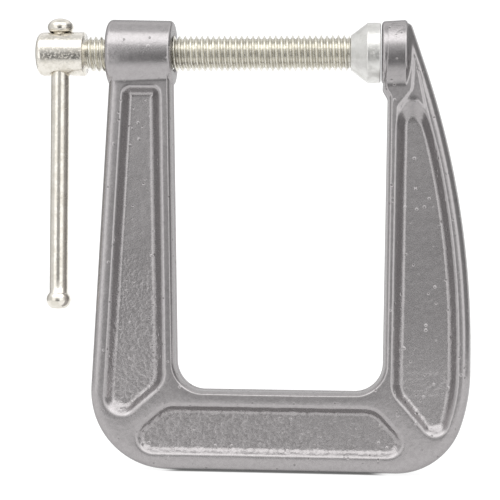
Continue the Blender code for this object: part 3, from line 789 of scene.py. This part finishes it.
class CLAMP_OT_casting(bpy.types.Operator):
    """The C-shaped body of the casting, with its recessed panels"""
    bl_idname = "clamp.casting"
    bl_label = "Cast body"

    def execute(self, context):
        rings, recess = casting_rings(context.scene.clamp_casting)
        points, faces = tube(rings)
        shares = np.concatenate([recess.reshape(-1), [0.0, 0.0]])
        new_piece("cast_body", points, faces, "frame", "casting", "silver_coat", "frame", shares)
        return {"FINISHED"}


class CLAMP_OT_barrels(bpy.types.Operator):
    """The boss that the screw runs through, and the anvil"""
    bl_idname = "clamp.barrels"
    bl_label = "Boss and anvil"

    def execute(self, context):
        s = context.scene.clamp_casting
        sides = 160
        back = BOSS_FACE - s.boss_length
        half_taper = s.boss_taper / 2
        lip_radius = s.bore_radius + 1.0 * MM
        profile = np.concatenate([
            [(back, s.bore_radius), (back, lip_radius)],
            quarter(back, s.boss_radius + half_taper, s.boss_back_round, 1)[::-1],
            quarter(BOSS_FACE, s.boss_radius - half_taper, s.boss_face_round, -1),
            [(BOSS_FACE, lip_radius), (BOSS_FACE, s.bore_radius)],
        ])
        rings = about_screw(*profile.T, sides)
        above = rings[..., 2].reshape(-1) - SCREW_Z
        middle, spread = 0.4 * MM, 2.6 * MM
        blisters = 0.1 + 0.8 * np.exp(-((above - middle) / spread) ** 2)
        new_piece("cast_boss", *tube(rings, endless=True), "frame", "casting", "silver_coat", "frame",
                  blisters)
        end = ANVIL_FACE + s.anvil_length
        half_taper = s.anvil_taper / 2
        hub, face_round, back_round = 1.0 * MM, 1.0 * MM, 0.9 * MM
        profile = np.concatenate([
            [(ANVIL_FACE, hub)],
            quarter(ANVIL_FACE, s.anvil_radius - half_taper, face_round, 1)[::-1],
            quarter(end, s.anvil_radius + half_taper, back_round, -1),
            [(end, hub)],
        ])
        rings = about_screw(*profile.T, sides)
        new_piece("cast_anvil", *tube(rings), "frame", "casting", "silver_coat", "frame")
        return {"FINISHED"}


def head_rings(s):
    """The screw's head: a cylinder with a rounded back, and a countersunk hollow where the bar goes in."""
    hub, edge, countersink, hollow = 0.8 * MM, 0.25 * MM, 0.5 * MM, 2.0 * MM
    back = SCREW_LOW.x + s.head_inset
    front = back + s.head_length
    round_back = quarter(back, s.head_radius, s.head_round, 1)[::-1]
    straight = np.linspace(round_back[-1, 0], front - edge, 90)[1:]
    places = np.concatenate([[back], round_back[:, 0], straight, [front, front, front + s.head_neck]])
    radii = np.concatenate([[hub], round_back[:, 1], np.full(len(straight), s.head_radius),
                            [s.head_radius - edge, s.neck_radius, s.neck_radius]])
    sides = 160
    angle = circle(sides)[None]
    from_axis = np.hypot(places[:, None] - BAR_X, radii[:, None] * np.cos(angle))
    sink = np.clip(s.hole_radius + countersink - from_axis, 0.0, countersink)
    drop = np.where(from_axis < s.hole_radius, hollow, 0.0)
    on_head = (radii > s.head_radius - 1.2 * edge)[:, None]
    surface = np.where(on_head, radii[:, None] - sink - drop, radii[:, None])
    return about_screw(places, surface, sides)


def thread_rings(s):
    """The threaded shank and its plain tip.

    The radius at a place x and an angle a depends on the phase x / pitch - a / turn, where a rounded root
    and two leaning flanks lie between the flat crests. Near both ends the thread runs out into the plain
    neck. Returns the rings and how deep each point lies in the groove.
    """
    samples_a_turn, sides = 18, 64
    half_root, flank_run, easing = 0.07, 0.37, 0.35
    runout_in, runout_out = 0.4, 0.15
    pad_gap, chamfer, tip_reach = 0.06 * MM, 0.15 * MM, 0.8 * MM
    start = SCREW_LOW.x + s.head_inset + s.head_length + s.head_neck
    shoulder = PAD_LOW.x - pad_gap
    stop = shoulder - chamfer
    samples = int((stop - start) / s.pitch * samples_a_turn)
    places = np.linspace(start, stop, samples)
    angle = circle(sides)[None]
    phase = ((places[:, None] - start) / s.pitch - angle / math.tau) % 1.0
    flank = np.clip((np.abs(phase - 0.5) - half_root) / flank_run, 0.0, 1.0)
    groove = 1 - flank * flank * (3 - 2 * flank) * easing - flank * (1 - easing)
    radius = s.crest_radius - groove * (s.crest_radius - s.root_radius)
    runout = np.minimum((places - start) / runout_in, (stop - places) / runout_out)[:, None] / s.pitch
    radius = s.neck_radius + (radius - s.neck_radius) * np.clip(runout, 0.0, 1.0)
    tip = np.array([
        (shoulder, s.neck_radius),
        (shoulder, s.ball_neck_radius),
        (PAD_LOW.x + tip_reach, s.ball_neck_radius),
    ])
    places = np.concatenate([places, tip[:, 0]])
    radius = np.concatenate([radius, np.repeat(tip[:, 1:], sides, axis=1)])
    groove = np.concatenate([groove, np.zeros((len(tip), sides))])
    return about_screw(places, radius, sides), groove


class CLAMP_OT_screw(bpy.types.Operator):
    """The screw's head and its threaded shank"""
    bl_idname = "clamp.screw"
    bl_label = "Screw"

    def execute(self, context):
        s = context.scene.clamp_screw
        new_piece("screw_head", *tube(head_rings(s)), "screw", "plated_screw", "warm_plating", "spindle")
        rings, groove = thread_rings(s)
        # Share of painted shade for the thread's grooves: deeper points get more.
        groove_shade_share = np.concatenate([groove.reshape(-1) ** 1.5, [0.0, 0.0]])
        new_piece("screw_thread", *tube(rings), "screw", "plated_screw", "thread_plating", "spindle",
                  groove_shade_share)
        return {"FINISHED"}


class CLAMP_OT_bar(bpy.types.Operator):
    """The sliding bar with its two upset ends"""
    bl_idname = "clamp.bar"
    bl_label = "Handle bar"

    def execute(self, context):
        s = context.scene.clamp_screw
        tip_angle, hub = 0.06, 0.5 * MM
        top = BAR_HIGH.z - s.end_height / 2
        flat_angle = math.asin(s.foot_flat / s.foot_radius)
        foot = BAR_LOW.z + s.foot_height / 2 * math.cos(flat_angle)
        upper = np.linspace(tip_angle, math.pi - math.asin(s.bar_radius / s.end_radius), 28)
        lower = np.linspace(math.asin(s.bar_radius / s.foot_radius), math.pi - flat_angle, 24)
        shank = np.linspace(top - s.end_height, foot + s.foot_height, 40)
        places = np.concatenate([top + s.end_height / 2 * np.cos(upper), shank,
                                 foot + s.foot_height / 2 * np.cos(lower), [BAR_LOW.z]])
        radii = np.concatenate([s.end_radius * np.sin(upper), np.full(len(shank), s.bar_radius),
                                s.foot_radius * np.sin(lower), [hub]])
        rings = turned(places[::-1], radii[::-1], 72, upright=True) + (BAR_X, 0.0, 0.0)
        new_piece("sliding_bar", *tube(rings), "handle", "plated_bar", "bar_plating", "handle_bar")
        return {"FINISHED"}


class CLAMP_OT_pad(bpy.types.Operator):
    """The swivel pad: a disc, and a conical skirt closed in behind the ball"""
    bl_idname = "clamp.pad"
    bl_label = "Swivel pad"

    def execute(self, context):
        s = context.scene.clamp_screw
        back, face = PAD_LOW.x, PAD_HIGH.x
        rim = face - s.pad_rim
        mouth, edge, face_round, hub = 1.2 * MM, 0.15 * MM, 0.4 * MM, 1.0 * MM
        skirt = np.linspace(0.0, 1.0, 40)
        profile = np.concatenate([
            [(back + mouth, s.pad_mouth_radius), (back, s.pad_mouth_radius)],
            np.stack([back + (rim - back) * skirt,
                      s.pad_skirt_radius + (s.pad_radius - s.pad_skirt_radius) * skirt], -1),
            [(rim + edge, s.pad_radius)],
            quarter(face, s.pad_radius, face_round, -1),
            [(face, hub)],
        ])
        rings = about_screw(*profile.T, 128)
        new_piece("swivel_disc", *tube(rings), "pad", "pad", "pale_plating", "swivel_pad")
        return {"FINISHED"}


def backdrop_surface():
    """A floor that curves up into a wall: a profile of floor, quarter circle and wall carried along X.

    It is just large enough for the camera, so that the clamp's edges reflect the room, and lies just below
    the foot.
    """
    reach, floor_end, bend = 0.175, 0.25, 0.20
    width, top, below_foot = 0.36, 0.36, 0.1 * MM
    angle = np.linspace(0.0, math.pi / 2, 24)
    floor = np.stack([np.linspace(-reach, floor_end, 20), np.zeros(20)], -1)
    curve = np.stack([floor_end + bend * np.sin(angle), bend * (1 - np.cos(angle))], -1)
    wall = np.array([(floor_end + bend, top)])
    profile = np.concatenate([floor, curve, wall])
    across = np.linspace(-width, width, 12)
    grid = np.stack([np.repeat(across[None], len(profile), 0),
                     np.repeat(profile[:, :1], len(across), 1),
                     np.repeat(profile[:, 1:], len(across), 1) - below_foot], -1)
    row = np.arange(len(profile) - 1)[:, None] * len(across)
    place = np.arange(len(across) - 1)[None]
    first = row + place
    quads = np.stack([first, first + 1, first + 1 + len(across), first + len(across)], -1)
    return grid.reshape(-1, 3), quads.reshape(-1, 4).tolist()


class CLAMP_OT_stage(bpy.types.Operator):
    """Pale floor and backdrop, soft light and the camera"""
    bl_idname = "clamp.stage"
    bl_label = "Stage"

    def floor(self, scene):
        """A pale, softly glowing floor and wall, with painted shade towards the camera and a painted
        contact shadow right under the foot.
        """
        material, shader, nodes = new_finish("pale_paper")
        across, ahead = nodes.parts(nodes.millimetres(), "XY")
        # Painted shade: glow and colour fall off towards the camera.
        away = nodes.step(ahead, -230.0, -70.0)
        # Painted contact shadow: the glow drops right under the foot.
        beside_foot = nodes.step(abs(ahead), 2.0, 4.2)
        past_foot = nodes.step(abs(across), 26.0, 32.0)
        lit = away * beside_foot.highest(past_foot)
        nodes.fill(shader, {
            "Base Color": nodes.blend(away, grey(0.12), grey(0.20)),
            "Emission Color": nodes.blend(lit, grey(0.14), grey(1.0)),
            "Roughness": 0.9,
            "Emission Strength": scene.clamp_stage.backdrop,
        })
        backdrop = bpy.data.objects.new("backdrop", smooth_mesh("backdrop", *backdrop_surface(), material))
        scene.collection.objects.link(backdrop)

    def surroundings(self, scene):
        """A white room whose glow depends on the direction.

        It has a long light overhead and a panel on each side of the camera. It is darker behind the camera,
        far out on the anvil's side and behind the backdrop. Angles are in radians: turn and aside from the
        camera's direction, and rise from the level.
        """
        stage = scene.clamp_stage
        world = bpy.data.worlds.new("room")
        world.use_nodes = True
        nodes = Nodes(world.node_tree)
        direction = nodes.make("ShaderNodeTexCoord", {}, {}, "Generated")
        across, ahead, up = nodes.parts(direction, "XYZ")
        turn = across.math("ARCTAN2", across, -1.0 * ahead)
        rise = up.math("ARCSINE", up, 0.0)
        aside = abs(turn - 0.03)
        low = 1.0 - nodes.step(rise, -0.32, 0.48)
        tall = 1.0 - nodes.step(rise, 0.50, 0.90)
        beside = nodes.step(aside, 0.27, 0.40)
        panels = beside * (1.0 - nodes.step(aside, 0.85, 1.05)) * tall
        overhead = nodes.step(rise, 0.36, 0.70) * (1.0 - nodes.step(rise, 1.06, 1.26))
        overhead = overhead * (1.0 - 0.84 * nodes.step(aside, 1.0, 1.5))
        behind_camera = (1.0 - beside) * low
        far_side = nodes.step(turn, 1.10, 1.30) * (1.0 - nodes.step(turn, 2.5, 2.85)) * tall
        back = nodes.step(aside, 1.5, 2.2) * tall
        glow = stage.room + panels * stage.panels + overhead * stage.overhead
        dark = (back * 0.40).highest(far_side * 0.68)
        glow = glow * (1.0 - behind_camera * 0.82 - dark)
        nodes.fill(world.node_tree.nodes["Background"], {"Color": glow})
        scene.world = world

    def execute(self, context):
        scene = context.scene
        stage = scene.clamp_stage
        aim = Vector((stage.aim_x, 0.0, stage.aim_z))
        self.floor(scene)
        self.surroundings(scene)
        data = bpy.data.cameras.new("camera")
        data.sensor_width = 36.0
        data.lens = data.sensor_width / 2 / math.tan(stage.view_angle / 2)
        data.clip_start, data.clip_end = 0.01, 10.0
        camera = bpy.data.objects.new("camera", data)
        back = Vector((math.sin(stage.yaw), -math.cos(stage.yaw), 0.0))
        camera.rotation_mode = "QUATERNION"
        aimed = (-back).to_track_quat("-Z", "Y")
        camera.rotation_quaternion = aimed @ Matrix.Rotation(stage.roll, 3, "Z").to_quaternion()
        camera.location = aim + back * stage.distance
        scene.collection.objects.link(camera)
        scene.camera = camera
        scene.view_settings.view_transform = "Standard"
        return {"FINISHED"}


OPERATORS = (CLAMP_OT_casting, CLAMP_OT_barrels, CLAMP_OT_screw, CLAMP_OT_bar, CLAMP_OT_pad, CLAMP_OT_stage)
SETTINGS = {
    "clamp_casting": ClampCasting,
    "clamp_screw": ClampScrew,
    "clamp_finish": ClampFinish,
    "clamp_stage": ClampStage,
}


class CLAMP_PT_sidebar(bpy.types.Panel):
    """The clamp's pieces, in the order that they are made"""
    bl_label = "C clamp"
    bl_idname = "CLAMP_PT_sidebar"
    bl_space_type = "VIEW_3D"
    bl_region_type = "UI"
    bl_category = "Clamp"

    def draw(self, context):
        for operator in OPERATORS:
            self.layout.operator(operator.bl_idname)
        for name, group in SETTINGS.items():
            box = self.layout.box()
            for field in group.__annotations__:
                box.prop(getattr(context.scene, name), field)


CLASSES = (*SETTINGS.values(), *OPERATORS, CLAMP_PT_sidebar)


def register():
    for kind in CLASSES:
        bpy.utils.register_class(kind)
    for name, group in SETTINGS.items():
        setattr(bpy.types.Scene, name, bpy.props.PointerProperty(type=group))


def unregister():
    for name in SETTINGS:
        delattr(bpy.types.Scene, name)
    for kind in reversed(CLASSES):
        bpy.utils.unregister_class(kind)


def main():
    """Register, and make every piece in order."""
    register()
    bpy.ops.clamp.casting()
    bpy.ops.clamp.barrels()
    bpy.ops.clamp.screw()
    bpy.ops.clamp.bar()
    bpy.ops.clamp.pad()
    bpy.ops.clamp.stage()


if __name__ == "__main__":
    main()
